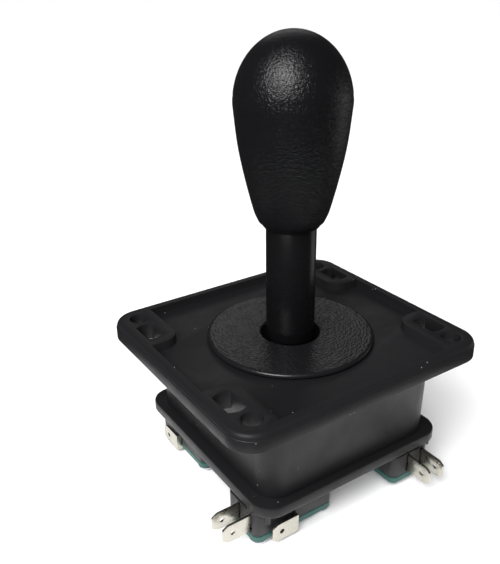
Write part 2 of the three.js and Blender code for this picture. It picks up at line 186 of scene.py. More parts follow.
# %% Material helpers
def node(tree, kind, **inputs):
    """Adds a node and sets its inputs by name, or by place when the key is like i0."""
    made = tree.nodes.new(kind)
    for key, value in inputs.items():
        socket = made.inputs[int(key[1:])] if key[1:].isdigit() else made.inputs[key]
        socket.default_value = value
    return made


def new_material(name, colour, roughness, metallic=0.0, specular=0.5):
    material = bpy.data.materials.new(name)
    material.use_nodes = True
    shader = material.node_tree.nodes["Principled BSDF"]
    shader.inputs["Base Color"].default_value = (*colour, 1)
    shader.inputs["Roughness"].default_value = roughness
    shader.inputs["Metallic"].default_value = metallic
    shader.inputs["Specular IOR Level"].default_value = specular
    material.diffuse_color = (*colour, 1)
    return material


def noise(tree, size_mm, detail=2.0, roughness=0.5):
    """Noise whose blobs are about size_mm across, on Object coordinates."""
    place = tree.nodes.new("ShaderNodeTexCoord")
    made = node(tree, "ShaderNodeTexNoise", Scale=1000 / size_mm, Detail=detail,
                Roughness=roughness)
    tree.links.new(place.outputs["Object"], made.inputs["Vector"])
    return made


def grain(material, layers):
    """Bumps from (size_mm, depth_mm) noise layers, each on top of the last."""
    tree = material.node_tree
    shader = tree.nodes["Principled BSDF"]
    last = None
    for size_mm, depth_mm in layers:
        bump = node(tree, "ShaderNodeBump", Strength=1.0, Distance=depth_mm * MM)
        tree.links.new(noise(tree, size_mm).outputs["Fac"], bump.inputs["Height"])
        if last is not None:
            tree.links.new(last.outputs["Normal"], bump.inputs["Normal"])
        last = bump
    tree.links.new(last.outputs["Normal"], shader.inputs["Normal"])


# %% Roughness and dust
NOISE_BAND = (0.3, 0.7)  # noise seldom leaves this band


def wander(material, low, high, size_mm):
    """Roughness that drifts between low and high."""
    tree = material.node_tree
    spread = node(tree, "ShaderNodeMapRange")
    spread.inputs["From Min"].default_value = NOISE_BAND[0]
    spread.inputs["From Max"].default_value = NOISE_BAND[1]
    spread.inputs["To Min"].default_value = low
    spread.inputs["To Max"].default_value = high
    tree.links.new(noise(tree, size_mm, 3.0).outputs["Fac"], spread.inputs["Value"])
    roughness = tree.nodes["Principled BSDF"].inputs["Roughness"]
    tree.links.new(spread.outputs["Result"], roughness)


def dusted(material, dark, dust, cell_mm, share, speck):
    """Pale specks of dust: a few cells of a Voronoi pattern hold a dot each."""
    tree = material.node_tree
    place = tree.nodes.new("ShaderNodeTexCoord")
    cells = node(tree, "ShaderNodeTexVoronoi", Scale=1000 / cell_mm)
    tree.links.new(place.outputs["Object"], cells.inputs["Vector"])
    parts = tree.nodes.new("ShaderNodeSeparateColor")
    tree.links.new(cells.outputs["Color"], parts.inputs["Color"])
    chosen = node(tree, "ShaderNodeMath", i1=1 - share)
    chosen.operation = "GREATER_THAN"
    tree.links.new(parts.outputs["Red"], chosen.inputs[0])
    near = node(tree, "ShaderNodeMath", i1=speck)
    near.operation = "LESS_THAN"
    tree.links.new(cells.outputs["Distance"], near.inputs[0])
    both = tree.nodes.new("ShaderNodeMath")
    both.operation = "MULTIPLY"
    tree.links.new(chosen.outputs[0], both.inputs[0])
    tree.links.new(near.outputs[0], both.inputs[1])
    mix = tree.nodes.new("ShaderNodeMix")
    mix.data_type = "RGBA"
    mix.inputs["A"].default_value = (*dark, 1)
    mix.inputs["B"].default_value = (*dust, 1)
    tree.links.new(both.outputs[0], mix.inputs["Factor"])
    tree.links.new(mix.outputs["Result"], tree.nodes["Principled BSDF"].inputs["Base Color"])


# %% Black plastics
HOUSING_BLACK = (0.0085, 0.0085, 0.0092)
housing_black = new_material("satin_housing", HOUSING_BLACK, 0.4, specular=0.2)
grain(housing_black, [(0.22, 0.012), (1.6, 0.02)])
wander(housing_black, 0.34, 0.46, 9)
dusted(housing_black, HOUSING_BLACK, (0.16, 0.155, 0.15), 1.5, 0.03, 0.15)

bat_black = new_material("grained_bat", (0.0035, 0.0035, 0.004), 0.22, specular=0.42)
grain(bat_black, [(0.8, 0.19), (0.4, 0.1)])
wander(bat_black, 0.18, 0.26, 6)

sleeve_black = new_material("smooth_sleeve", (0.003, 0.003, 0.0034), 0.26, specular=0.4)
grain(sleeve_black, [(3.0, 0.006)])
wander(sleeve_black, 0.2, 0.3, 12)

dust_washer_black = new_material("leather_grain", (0.006, 0.006, 0.0066), 0.25)
grain(dust_washer_black, [(0.25, 0.01)])
wander(dust_washer_black, 0.2, 0.3, 5)

case_black = new_material("switch_case_black", (0.012, 0.012, 0.0128), 0.5, specular=0.4)
grain(case_black, [(0.2, 0.01)])
wander(case_black, 0.44, 0.58, 4)
print("black plastics: housing, bat, sleeve, dust washer and switch cases")

# %% Green, nylon, red and metals
cover_green = new_material("switch_cover_green", (0.014, 0.066, 0.056), 0.42)
grain(cover_green, [(0.25, 0.008)])
wander(cover_green, 0.36, 0.5, 4)

nylon_white = new_material("natural_nylon", (0.72, 0.69, 0.6), 0.4)
nylon_white.node_tree.nodes["Principled BSDF"].inputs["Subsurface Weight"].default_value = 0.15
grain(nylon_white, [(0.8, 0.01)])
wander(nylon_white, 0.34, 0.48, 5)

plunger_red = new_material("plunger_red", (0.42, 0.02, 0.015), 0.35)
grain(plunger_red, [(0.3, 0.005)])

steel = new_material("zinc_plated_steel", (0.62, 0.63, 0.66), 0.28, metallic=1.0)
grain(steel, [(0.5, 0.004)])
wander(steel, 0.22, 0.38, 3)

tin = new_material("tinned_brass", (0.52, 0.5, 0.44), 0.34, metallic=1.0)
grain(tin, [(0.35, 0.006), (2.0, 0.01)])
wander(tin, 0.24, 0.4, 2)

floor_white = new_material("floor_white", (0.94, 0.94, 0.94), 0.9)
grain(floor_white, [(1.5, 0.004)])
for surface in (floor, sheet):
    surface.data.materials.append(floor_white)
print(len(bpy.data.materials), "materials, counting the engineering model's own")

# %% [markdown]
# Shapes
#
# A moulding is a stack of outlines. Lofting from one outline to the next gives draft and
# rounded edges for nothing: an edge is eased by a few outlines that step in along a quarter
# circle. Round parts are turned from a profile, and holes are cut with exact booleans.

# %% Outlines and lofts
def rounded(width, height, corner, cx=0.0, cy=0.0, steps=12):
    """A rectangle with round corners, in millimetres, anticlockwise."""
    outline = []
    for quarter, (sx, sy) in enumerate(((1, 1), (-1, 1), (-1, -1), (1, -1))):
        mid = (cx + sx * (width / 2 - corner), cy + sy * (height / 2 - corner))
        for i in range(steps + 1):
            angle = math.pi / 2 * (quarter + i / steps)
            outline.append((mid[0] + corner * math.cos(angle), mid[1] + corner * math.sin(angle)))
    return outline


def loft(name, layers):
    """A closed solid through (outline, height) layers, low to high; heights are from the rim."""
    shape = bmesh.new()
    rings = [[shape.verts.new((x * MM, y * MM, RIM + z * MM)) for x, y in outline]
             for outline, z in layers]
    for below, above in zip(rings, rings[1:]):
        for i in range(len(below)):
            j = (i + 1) % len(below)
            shape.faces.new((below[i], below[j], above[j], above[i]))
    shape.faces.new(list(reversed(rings[0])))
    shape.faces.new(rings[-1])
    mesh = bpy.data.meshes.new(name)
    shape.to_mesh(mesh)
    shape.free()
    return new_object(name, mesh)


# %% Turning
ON_AXIS = 1e-6  # a radius below this is a point on the axis


def turned(name, profile, segments=96):
    """A profile of (radius, height) in millimetres turned about Z; it starts and ends on the axis
    or closes on itself."""
    shape = bmesh.new()
    closed = profile[0] == profile[-1]
    points = profile[:-1] if closed else profile
    rings = []
    for r, z in points:
        if r < ON_AXIS:
            rings.append([shape.verts.new((0, 0, RIM + z * MM))])
            continue
        turn = [2 * math.pi * i / segments for i in range(segments)]
        rings.append([shape.verts.new((r * MM * math.cos(a), r * MM * math.sin(a), RIM + z * MM))
                      for a in turn])
    pairs = list(zip(rings, rings[1:])) + ([(rings[-1], rings[0])] if closed else [])
    for below, above in pairs:
        for i in range(segments):
            j = (i + 1) % segments
            corners = [below[i % len(below)], below[j % len(below)],
                       above[j % len(above)], above[i % len(above)]]
            once = list(dict.fromkeys(corners))
            if len(once) > 2:
                shape.faces.new(once)
    bmesh.ops.recalc_face_normals(shape, faces=shape.faces)
    mesh = bpy.data.meshes.new(name)
    shape.to_mesh(mesh)
    shape.free()
    return new_object(name, mesh)


def cylinder(name, r, low, high, x=0.0, y=0.0, segments=48):
    made = turned(name, [(0, low), (r, low), (r, high), (0, high)], segments)
    made.data.transform(Matrix.Translation((x * MM, y * MM, 0)))
    return made


# %% Joining and cutting
def combine(target, tools, operation):
    """Joins or cuts with each tool in turn, exactly, and removes the tools."""
    for tool in tools:
        modifier = target.modifiers.new("cut", "BOOLEAN")
        modifier.operation = operation
        modifier.solver = "EXACT"
        modifier.object = tool
        settle(target)
        bpy.data.objects.remove(tool)
    return target


def settle(target):
    """Applies every modifier by taking the evaluated mesh."""
    graph = bpy.context.evaluated_depsgraph_get()
    graph.update()
    mesh = bpy.data.meshes.new_from_object(target.evaluated_get(graph))
    target.modifiers.clear()
    target.data = mesh
    return target


# %% Softened edges
WELD = 0.002 * MM
FLAT = math.radians(1)
SOFT_ANGLE = math.radians(35)
SOFT_STEPS = 2


def soften(target, width_mm):
    """Rounds the sharp edges a little, as a mould leaves them, and shades the rest smooth."""
    shape = bmesh.new()
    shape.from_mesh(target.data)
    bmesh.ops.remove_doubles(shape, verts=shape.verts, dist=WELD)
    bmesh.ops.dissolve_limit(shape, angle_limit=FLAT, verts=shape.verts, edges=shape.edges)
    shape.to_mesh(target.data)
    shape.free()
    bevel = target.modifiers.new("soften", "BEVEL")
    bevel.width = width_mm * MM
    bevel.segments = SOFT_STEPS
    bevel.limit_method = "ANGLE"
    bevel.angle_limit = SOFT_ANGLE
    bevel.use_clamp_overlap = True
    settle(target)
    smooth(target)
    return target


def smooth(target, angle=32):
    """Smooth shading, with an edge kept sharp where two faces meet at more than the angle."""
    shape = bmesh.new()
    shape.from_mesh(target.data)
    for face in shape.faces:
        face.smooth = True
    for edge in shape.edges:
        if len(edge.link_faces) == 2:
            edge.smooth = edge.calc_face_angle(0) < math.radians(angle)
    shape.to_mesh(target.data)
    shape.free()
    return target


# %% Finishing a piece
def finished(target, material, body, slot, *nodes):
    """Gives a piece its finish, puts it on its body and hides the engineering parts it stands in for.
    """
    target.data.materials.clear()
    target.data.materials.append(material)
    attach(target, body)
    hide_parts(*nodes)
    triangles = sum(len(p.vertices) - 2 for p in target.data.polygons)
    print(target.name, triangles, "triangles")
    return target


# %% [markdown]
# The housing
#
# Mounting plate, box and ball cup are one moulding. The plate has a sunk floor with four
# raised pads that carry the bolt holes, a well rounded upper edge and, just under the
# rounding, the faint step where the two halves of the mould met.

# %% Housing sizes
PLATE_X = (HOUSING_HIGH.x - HOUSING_LOW.x) / MM
PLATE_Y = (HOUSING_HIGH.y - HOUSING_LOW.y) / MM
PLATE_CORNER = 9.0
PLATE_DEEP = 5.9
EDGE, EDGE_STEPS = 1.7, 8
STEP, STEP_HIGH = 0.18, 0.12
FOOT_EASE = 0.25
RECESS = 2.9
RECESS_CORNER = 4.9
WALL_DRAFT = 0.3  # how far each wall of the recess and the pads leans
RIM_WIDE = 3.6
BOX_X, BOX_Y, BOX_CORNER = 67.2, 70.4, 7.5
BOX_LOW = (HOUSING_LOW.z - RIM) / MM
BOX_WALL = 2.5
DRAFT = 0.5
PAD_X, PAD_Y, PAD_CORNER = 14.5, 27.0, 6.0
HOLE_AT, HOLE_R = (38.7, 34.9), 3.25
SLOT_AT, SLOT_LONG, SLOT_WIDE = (39.5, 24.7), 10.5, 6.2
CORNERS = ((-1, -1), (1, -1), (1, 1), (-1, 1))
BOSS_AT, BOSS_R = (-24.5, -28.0), 3.8
PILOT_R, PILOT_DEEP = 1.8, 15
CUP_R, CUP_LOW = 13.0, -19.0
PIVOT, SEAT_R, SEAT_STEPS = -11.0, 8.3, 10
EXIT_R, MOUTH_R, MOUTH_UP = 6.6, 9.9, 4
CLEAR = 1  # how far a cutter runs past what it cuts
INTO, BOX_INTO = 0.5, 0.4  # how far one solid runs into the next before they are joined
print("plate", round(PLATE_X, 1), "x", round(PLATE_Y, 1), "mm, box", BOX_X, "x", BOX_Y, "mm")


# %% Housing moulding
def eased_plate():
    """The plate's outside: side, parting step, then a rounded upper edge."""
    def inset(amount, z):
        return rounded(PLATE_X - 2 * amount, PLATE_Y - 2 * amount, PLATE_CORNER - amount), z

    layers = [inset(FOOT_EASE, -PLATE_DEEP), inset(0.0, -PLATE_DEEP + FOOT_EASE),
              inset(0.0, -EDGE - FOOT_EASE), inset(STEP, -EDGE - STEP_HIGH)]
    for i in range(EDGE_STEPS + 1):
        angle = math.pi / 2 * i / EDGE_STEPS
        layers.append(inset(STEP + (EDGE - STEP) * (1 - math.cos(angle)),
                            -EDGE * (1 - math.sin(angle))))
    return loft("housing", layers)


def recess_cutter():
    """The sunk floor: the inside of the rim, less the four pads, with a little draft."""
    wide, long = PLATE_X - 2 * RIM_WIDE, PLATE_Y - 2 * RIM_WIDE
    lean = 2 * WALL_DRAFT
    foot = rounded(wide - lean, long - lean, RECESS_CORNER - WALL_DRAFT)
    mouth = rounded(wide, long, RECESS_CORNER)
    inside = loft("recess", [(foot, -RECESS), (mouth, 0.0), (mouth, CLEAR)])
    pads = []
    for sx, sy in CORNERS:
        at = (sx * (PLATE_X - PAD_X) / 2, sy * (PLATE_Y - PAD_Y) / 2)
        foot = rounded(PAD_X + lean, PAD_Y + lean, PAD_CORNER + WALL_DRAFT, *at)
        head = rounded(PAD_X, PAD_Y, PAD_CORNER, *at)
        pads.append(loft("pad", [(foot, -RECESS - CLEAR), (foot, -RECESS),
                                 (head, 0.0), (head, 2 * CLEAR)]))
    return combine(inside, pads, "DIFFERENCE")


def double_d(at):
    """A bolt slot: two flats along Y and round ends."""
    r = SLOT_LONG / 2
    half = math.acos(SLOT_WIDE / SLOT_LONG)
    steps = 14
    arc = [half + (math.pi - 2 * half) * i / steps for i in range(steps + 1)]
    angles = arc + [a + math.pi for a in arc]
    outline = [(at[0] + r * math.cos(a), at[1] + r * math.sin(a)) for a in angles]
    return loft("slot", [(outline, -PLATE_DEEP - CLEAR), (outline, CLEAR)])


def box_solid(name, inset, low, high):
    """The box, or the hollow in it, narrowing towards the open bottom."""
    def layer(z):
        down = DRAFT * (z / BOX_LOW)
        size = (BOX_X - 2 * inset - 2 * down, BOX_Y - 2 * inset - 2 * down)
        return rounded(*size, max(BOX_CORNER - inset, 1.0)), z

    return loft(name, [layer(low), layer(high)])


def socket_cutter():
    """The ball's seat, the stick's way out below it and the mouth above."""
    low = -math.acos(EXIT_R / SEAT_R)
    angles = [low * (1 - i / SEAT_STEPS) for i in range(SEAT_STEPS + 1)]
    seat = [(SEAT_R * math.cos(a), PIVOT + SEAT_R * math.sin(a)) for a in angles]
    return turned("socket", [(0, CUP_LOW - CLEAR), (EXIT_R, CUP_LOW - CLEAR), *seat,
                             (MOUTH_R, PIVOT + MOUTH_UP), (MOUTH_R, CLEAR), (0, CLEAR)])


def quarter_turned(place, count):
    x, y = place
    for _ in range(count):
        x, y = -y, x
    return x, y


boss_places = [quarter_turned(BOSS_AT, k) for k in range(4)]
housing = eased_plate()
bosses = [cylinder("boss", BOSS_R, BOX_LOW, -PLATE_DEEP + INTO, *at) for at in boss_places]
cup = cylinder("cup", CUP_R, CUP_LOW, -RECESS - INTO, segments=96)
shell = box_solid("box", 0.0, BOX_LOW, -PLATE_DEEP + BOX_INTO)
hollow = box_solid("hollow", BOX_WALL, BOX_LOW - CLEAR, -PLATE_DEEP)
shell = combine(shell, [hollow], "DIFFERENCE")
housing = combine(housing, [shell, cup, *bosses], "UNION")
bolt_holes = [cylinder("hole", HOLE_R, -PLATE_DEEP - CLEAR, CLEAR, sx * HOLE_AT[0], sy * HOLE_AT[1])
              for sx, sy in CORNERS]
slots = [double_d((sx * SLOT_AT[0], sy * SLOT_AT[1])) for sx, sy in CORNERS]
pilots = [cylinder("pilot", PILOT_R, BOX_LOW - CLEAR, BOX_LOW + PILOT_DEEP, *at, segments=24)
          for at in boss_places]
combine(housing, [recess_cutter(), socket_cutter(), *bolt_holes, *slots, *pilots], "DIFFERENCE")
HOUSING_EDGE = 0.3
soften(housing, HOUSING_EDGE)
finished(housing, housing_black, "base", "housing_plastic", "top_housing")

# %% [markdown]
# The base plate
#
# It closes the box, and its square opening is the gate that stops the stick. Small
# stand-offs underneath carry the switches, and four flat-headed screws hold it to the box.

# %% Base plate
BASE_LOW, BASE_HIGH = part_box("bottom_plate")
BASE_X = (BASE_HIGH.x - BASE_LOW.x) / MM
BASE_Y = (BASE_HIGH.y - BASE_LOW.y) / MM
BASE_TOP = -33.5
BASE_THICK = 3.7
BASE_CORNER = 7.0
BASE_EASE = ((0.45, 0), (0.13, 0.13), (0, 0.45))  # (inset, height) round each long edge
BASE_EDGE = 0.15
SWITCH_LEFT, SWITCH_OUTER, SWITCH_TOP, SWITCH_LONG = -36.2, -32.2, -38.9, 29.8
PIN_INSET, PIN_HOLE_R, PIN_SKIN = 2.8, 1.7, 0.8
PIN_Y = SWITCH_OUTER + PIN_INSET
PIN_PLACES = ((SWITCH_LEFT + PIN_INSET, PIN_Y), (SWITCH_LEFT + SWITCH_LONG - PIN_INSET, PIN_Y))
STANDOFF_R, STANDOFF_SHORT = 3.3, 0.3
PEG_AT, PEG_SQUEEZE, PEG_R, PEG_PROUD = (-34.3, -34.2), 0.97, 0.9, 1.6
GATE, GATE_CORNER = 21.8, 5
SINK_R, SINK_NECK, SINK_DEEP = 3.4, 1.8, 2.2
CUT_TOP = BASE_TOP + 1.5
all_pins = [quarter_turned(at, k) for k in range(4) for at in PIN_PLACES]


def base_slab(low):
    def layer(inset, z):
        return rounded(BASE_X - 2 * inset, BASE_Y - 2 * inset, BASE_CORNER - inset), z

    under = [layer(inset, low + up) for inset, up in BASE_EASE]
    over = [layer(inset, BASE_TOP - down) for inset, down in reversed(BASE_EASE)]
    return loft("base_plate", under + over)


base_low = BASE_TOP - BASE_THICK
base_plate = base_slab(base_low)
standoffs = [cylinder("standoff", STANDOFF_R, SWITCH_TOP + STANDOFF_SHORT, base_low + INTO, *at)
             for at in all_pins]
peg_places = []
for k in range(4):
    px, py = quarter_turned(PEG_AT, k)
    peg_places.append((px * PEG_SQUEEZE, py))
pegs = [cylinder("peg", PEG_R, SWITCH_TOP - PEG_PROUD, base_low + INTO, *at, segments=20)
        for at in peg_places]
combine(base_plate, standoffs + pegs, "UNION")
opening = rounded(GATE, GATE, GATE_CORNER)
gate = loft("gate", [(opening, base_low - CLEAR), (opening, CUT_TOP)])
pin_holes = [cylinder("pin_hole", PIN_HOLE_R, SWITCH_TOP - CLEAR, BASE_TOP - PIN_SKIN, *at, segments=24)
             for at in all_pins]
sinks = []
for x, y in boss_places:
    sink = turned("sink", [(0, base_low - CLEAR), (SINK_R, base_low - CLEAR), (SINK_R, base_low),
                           (SINK_NECK, base_low + SINK_DEEP), (SINK_NECK, CUT_TOP), (0, CUT_TOP)], 32)
    sink.data.transform(Matrix.Translation((x * MM, y * MM, 0)))
    sinks.append(sink)
combine(base_plate, [gate, *pin_holes, *sinks], "DIFFERENCE")
soften(base_plate, BASE_EDGE)
finished(base_plate, housing_black, "base", "housing_plastic", "bottom_plate")

# %% [markdown]
# The bat
#
# A hollow moulded handle shaped like a drop. It is turned from a fine profile: a dome, a
# hair-line groove just above the widest place where two mouldings meet, a long taper, and a
# stepped collar at the foot that the sleeve runs up into.

# %% Bat handle
BAT_LOW, BAT_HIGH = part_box("bat_handle")
BAT_R = (BAT_HIGH.x - BAT_LOW.x) / 2 / MM
BAT_BOTTOM = (BAT_LOW.z - RIM) / MM
BAT_TOP = (BAT_HIGH.z - RIM) / MM
EQUATOR = 74.0
SEAM_UP, SEAM_DEEP, SEAM_HIGH = 2.2, 0.05, 0.12  # the hair line where the two mouldings meet
BORE_R, BORE_TOP = 5.05, 69.8  # the shaft's hole
SLEEVE_END = (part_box("shaft_sleeve")[1].z - RIM) / MM + 0.3  # where the sleeve stops inside
COLLAR = ((8.3, 0.3), (8.5, 0), (8.8, 0), (9.0, 0.15), (9.55, 1.35), (9.7, 1.5), (10.0, 1.5),
          (10.35, 1.7), (10.6, 2.2))  # the stepped foot, (radius, height over the lip)
TAPER_STEPS, DOME_STEPS = 9, 40
TAPER = ((10.9, 2.9), (12.0, 5.9), (14.5, 16.1), (16.35, 25.9))  # (radius, height over the lip)


def spline(points, steps):
    """A smooth curve through the points, evenly stepped between each two."""
    ends = [points[0], *points, points[-1]]
    curve = []
    for p0, p1, p2, p3 in zip(ends, ends[1:], ends[2:], ends[3:]):
        for i in range(steps):
            t = i / steps
            curve.append(tuple(
                0.5 * (2 * b + (c - a) * t + (2 * a - 5 * b + 4 * c - d) * t * t
                       + (3 * b - a - 3 * c + d) * t ** 3)
                for a, b, c, d in zip(p0, p1, p2, p3)))
    return [*curve, points[-1]]


def bat_profile():
    taper = spline([(r, BAT_BOTTOM + up) for r, up in TAPER] + [(BAT_R, EQUATOR)], TAPER_STEPS)
    dome = []
    for i in range(DOME_STEPS):
        angle = math.pi / 2 * i / DOME_STEPS
        dome.append((BAT_R * math.cos(angle), EQUATOR + (BAT_TOP - EQUATOR) * math.sin(angle)))
    seam = [k for k, (_, z) in enumerate(dome) if z > EQUATOR + SEAM_UP][0]
    dome[seam] = (dome[seam][0] - SEAM_DEEP, dome[seam - 1][1] + SEAM_HIGH)
    collar = [(r, BAT_BOTTOM + up) for r, up in COLLAR]
    inside = [(0, BORE_TOP), (BORE_R, BORE_TOP), (BORE_R, SLEEVE_END), (COLLAR[0][0], SLEEVE_END)]
    return inside + collar + taper + dome[1:] + [(0, BAT_TOP)]


bat = turned("bat", bat_profile(), 128)
smooth(bat, 40)
finished(bat, bat_black, "handle", "bat_plastic", "bat_handle")

# %% [markdown]
# Sleeve and dust washer
#
# The sleeve is a plain satin tube. The washer lies loose on the plate and has a leather
# grain: real low bumps, about a millimetre across, made by a small Geometry Nodes tree that
# lifts the top face by a cell pattern. That way the grain is in the mesh itself.

# %% Sleeve
SLEEVE_LOW, SLEEVE_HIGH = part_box("shaft_sleeve")
low, high = (SLEEVE_LOW.z - RIM) / MM, (SLEEVE_HIGH.z - RIM) / MM
SLEEVE_R = 8.0
sleeve = turned("sleeve", [
    (BORE_R, low), (SLEEVE_R - 0.5, low), (SLEEVE_R - 0.15, low + 0.15), (SLEEVE_R, low + 0.5),
    (SLEEVE_R, high - 0.4), (SLEEVE_R - 0.4, high), (BORE_R, high), (BORE_R, low)], 128)
smooth(sleeve, 50)
finished(sleeve, sleeve_black, "handle", "sleeve_plastic", "shaft_sleeve")

# %% Leather grain tree
CREASE_WIDE = 0.22  # of a cell, how wide the valley between two bumps is
UPWARD = 0.99  # a face whose normal's Z is over this is lifted


def leather_tree(material):
    """Lifts the upward faces by rounded cells. Inputs: the cells' size and height."""
    tree = bpy.data.node_groups.new("leather_grain", "GeometryNodeTree")
    tree.interface.new_socket("Geometry", in_out="INPUT", socket_type="NodeSocketGeometry")
    scale = tree.interface.new_socket("Cells per metre", in_out="INPUT",
                                      socket_type="NodeSocketFloat")
    depth = tree.interface.new_socket("Height", in_out="INPUT", socket_type="NodeSocketFloat")
    tree.interface.new_socket("Geometry", in_out="OUTPUT", socket_type="NodeSocketGeometry")
    add = tree.nodes.new
    link = tree.links.new
    entry, leave = add("NodeGroupInput"), add("NodeGroupOutput")
    cells = add("ShaderNodeTexVoronoi")
    cells.feature = "DISTANCE_TO_EDGE"
    link(entry.outputs["Cells per metre"], cells.inputs["Scale"])
    crease = add("ShaderNodeMapRange")
    crease.interpolation_type = "SMOOTHSTEP"
    crease.inputs["From Max"].default_value = CREASE_WIDE
    link(cells.outputs["Distance"], crease.inputs["Value"])
    normal, parts = add("GeometryNodeInputNormal"), add("ShaderNodeSeparateXYZ")
    link(normal.outputs["Normal"], parts.inputs["Vector"])
    upward = add("ShaderNodeMath")
    upward.operation = "GREATER_THAN"
    upward.inputs[1].default_value = UPWARD
    link(parts.outputs["Z"], upward.inputs[0])
    lift, shared = add("ShaderNodeMath"), add("ShaderNodeMath")
    lift.operation = shared.operation = "MULTIPLY"
    link(crease.outputs["Result"], lift.inputs[0])
    link(entry.outputs["Height"], lift.inputs[1])
    link(lift.outputs[0], shared.inputs[0])
    link(upward.outputs[0], shared.inputs[1])
    offset, move = add("ShaderNodeCombineXYZ"), add("GeometryNodeSetPosition")
    link(shared.outputs[0], offset.inputs["Z"])
    link(entry.outputs["Geometry"], move.inputs["Geometry"])
    link(offset.outputs["Vector"], move.inputs["Offset"])
    real, paint = add("GeometryNodeRealizeInstances"), add("GeometryNodeSetMaterial")
    paint.inputs["Material"].default_value = material
    link(move.outputs["Geometry"], real.inputs["Geometry"])
    link(real.outputs["Geometry"], paint.inputs["Geometry"])
    link(paint.outputs["Geometry"], leave.inputs["Geometry"])
    return tree, scale.identifier, depth.identifier


# %% Dust washer
WASHER_LOW, WASHER_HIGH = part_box("dust_washer")
WASHER_R = (WASHER_HIGH.x - WASHER_LOW.x) / 2 / MM
low, high = (WASHER_LOW.z - RIM) / MM, (WASHER_HIGH.z - RIM) / MM
GRAIN_HIGH, GRAIN_CELLS = 0.13, 950.0
HOLE_EDGE, HOLE_LIP = 9.8, 0.4
OUTER_EASE = 0.9
top = high - GRAIN_HIGH
rings = 96
flat_r = WASHER_R - OUTER_EASE
flat = [(flat_r - (flat_r - HOLE_EDGE - HOLE_LIP) * i / rings, top) for i in range(rings + 1)]
ease = [(flat_r + OUTER_EASE * math.sin(a), top - OUTER_EASE + OUTER_EASE * math.cos(a))
        for a in (math.radians(90 - 15 * i) for i in range(6))]
washer = turned("washer", [
    (HOLE_EDGE, low), (WASHER_R - 0.25, low), (WASHER_R, low + 0.25), *ease, *flat,
    (HOLE_EDGE + 0.1, top - 0.1), (HOLE_EDGE, top - HOLE_LIP), (HOLE_EDGE, low)], 300)
tree, scale_id, depth_id = leather_tree(dust_washer_black)
grain_modifier = washer.modifiers.new("grain", "NODES")
grain_modifier.node_group = tree
grain_modifier[scale_id] = GRAIN_CELLS
grain_modifier[depth_id] = GRAIN_HIGH * MM
settle(washer)
smooth(washer, 60)
finished(washer, dust_washer_black, "base", "dust_washer_plastic", "dust_washer")

# %% [markdown]
# The spring and the screws
#
# Both follow a rule, so Geometry Nodes make them: the spring is a spiral with a round wire
# swept along it, and the screws are one head and shank copied to points. The spring's foot
# stands on a flange that tilts one way more than its head does; the coil here is one fixed shape.

# %% Spring tree
SPRING_LOW, SPRING_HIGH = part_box("centering_spring")
WIRE_R, WIRE_STEPS = 0.65, 14
SPRING_R, SPRING_TURNS, TURN_STEPS = 9.2, 4.0, 48
TILT_ROOM = 1.0  # left at each end, so that the coil clears its neighbours when it tilts


def spring_tree(material):
    """A round wire swept along a spiral. Inputs: its radius, height, turns and the wire's radius."""
    tree = bpy.data.node_groups.new("coil_spring", "GeometryNodeTree")
    inputs = {}
    for label in ("Radius", "Height", "Turns", "Wire"):
        socket = tree.interface.new_socket(label, in_out="INPUT", socket_type="NodeSocketFloat")
        inputs[label] = socket.identifier
    tree.interface.new_socket("Geometry", in_out="OUTPUT", socket_type="NodeSocketGeometry")
    add = tree.nodes.new
    link = tree.links.new
    entry, leave = add("NodeGroupInput"), add("NodeGroupOutput")
    spiral = add("GeometryNodeCurveSpiral")
    spiral.inputs["Resolution"].default_value = TURN_STEPS
    link(entry.outputs["Radius"], spiral.inputs["Start Radius"])
    link(entry.outputs["Radius"], spiral.inputs["End Radius"])
    link(entry.outputs["Height"], spiral.inputs["Height"])
    link(entry.outputs["Turns"], spiral.inputs["Rotations"])
    wire = add("GeometryNodeCurvePrimitiveCircle")
    wire.inputs["Resolution"].default_value = WIRE_STEPS
    link(entry.outputs["Wire"], wire.inputs["Radius"])
    sweep = add("GeometryNodeCurveToMesh")
    sweep.inputs["Fill Caps"].default_value = True
    link(spiral.outputs["Curve"], sweep.inputs["Curve"])
    link(wire.outputs["Curve"], sweep.inputs["Profile Curve"])
    real, paint = add("GeometryNodeRealizeInstances"), add("GeometryNodeSetMaterial")
    paint.inputs["Material"].default_value = material
    link(sweep.outputs["Mesh"], real.inputs["Geometry"])
    link(real.outputs["Geometry"], paint.inputs["Geometry"])
    link(paint.outputs["Geometry"], leave.inputs["Geometry"])
    return tree, inputs


spring = new_object("spring", bpy.data.meshes.new("spring"))
tree, inputs = spring_tree(steel)
coil = spring.modifiers.new("coil", "NODES")
coil.node_group = tree
coil[inputs["Radius"]] = SPRING_R * MM
coil[inputs["Height"]] = SPRING_HIGH.z - SPRING_LOW.z - 2 * (WIRE_R + TILT_ROOM) * MM
coil[inputs["Turns"]] = SPRING_TURNS
coil[inputs["Wire"]] = WIRE_R * MM
settle(spring)
spring.data.transform(Matrix.Translation((0, 0, SPRING_LOW.z + (WIRE_R + TILT_ROOM) * MM)))
smooth(spring, 60)
spring.data.materials.clear()
spring.data.materials.append(steel)
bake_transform(spring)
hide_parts("centering_spring")
print("spring", len(spring.data.polygons), "faces")

# %% Screws on points
SCREW_SLOT_WIDE, SCREW_SLOT_DEEP = 0.8, 0.7
FINE_EDGE = 0.08  # how far the edges of small metal parts are rounded
TIP_EASE = 0.4
TURN_SEED = 7  # picks how far each screw is turned


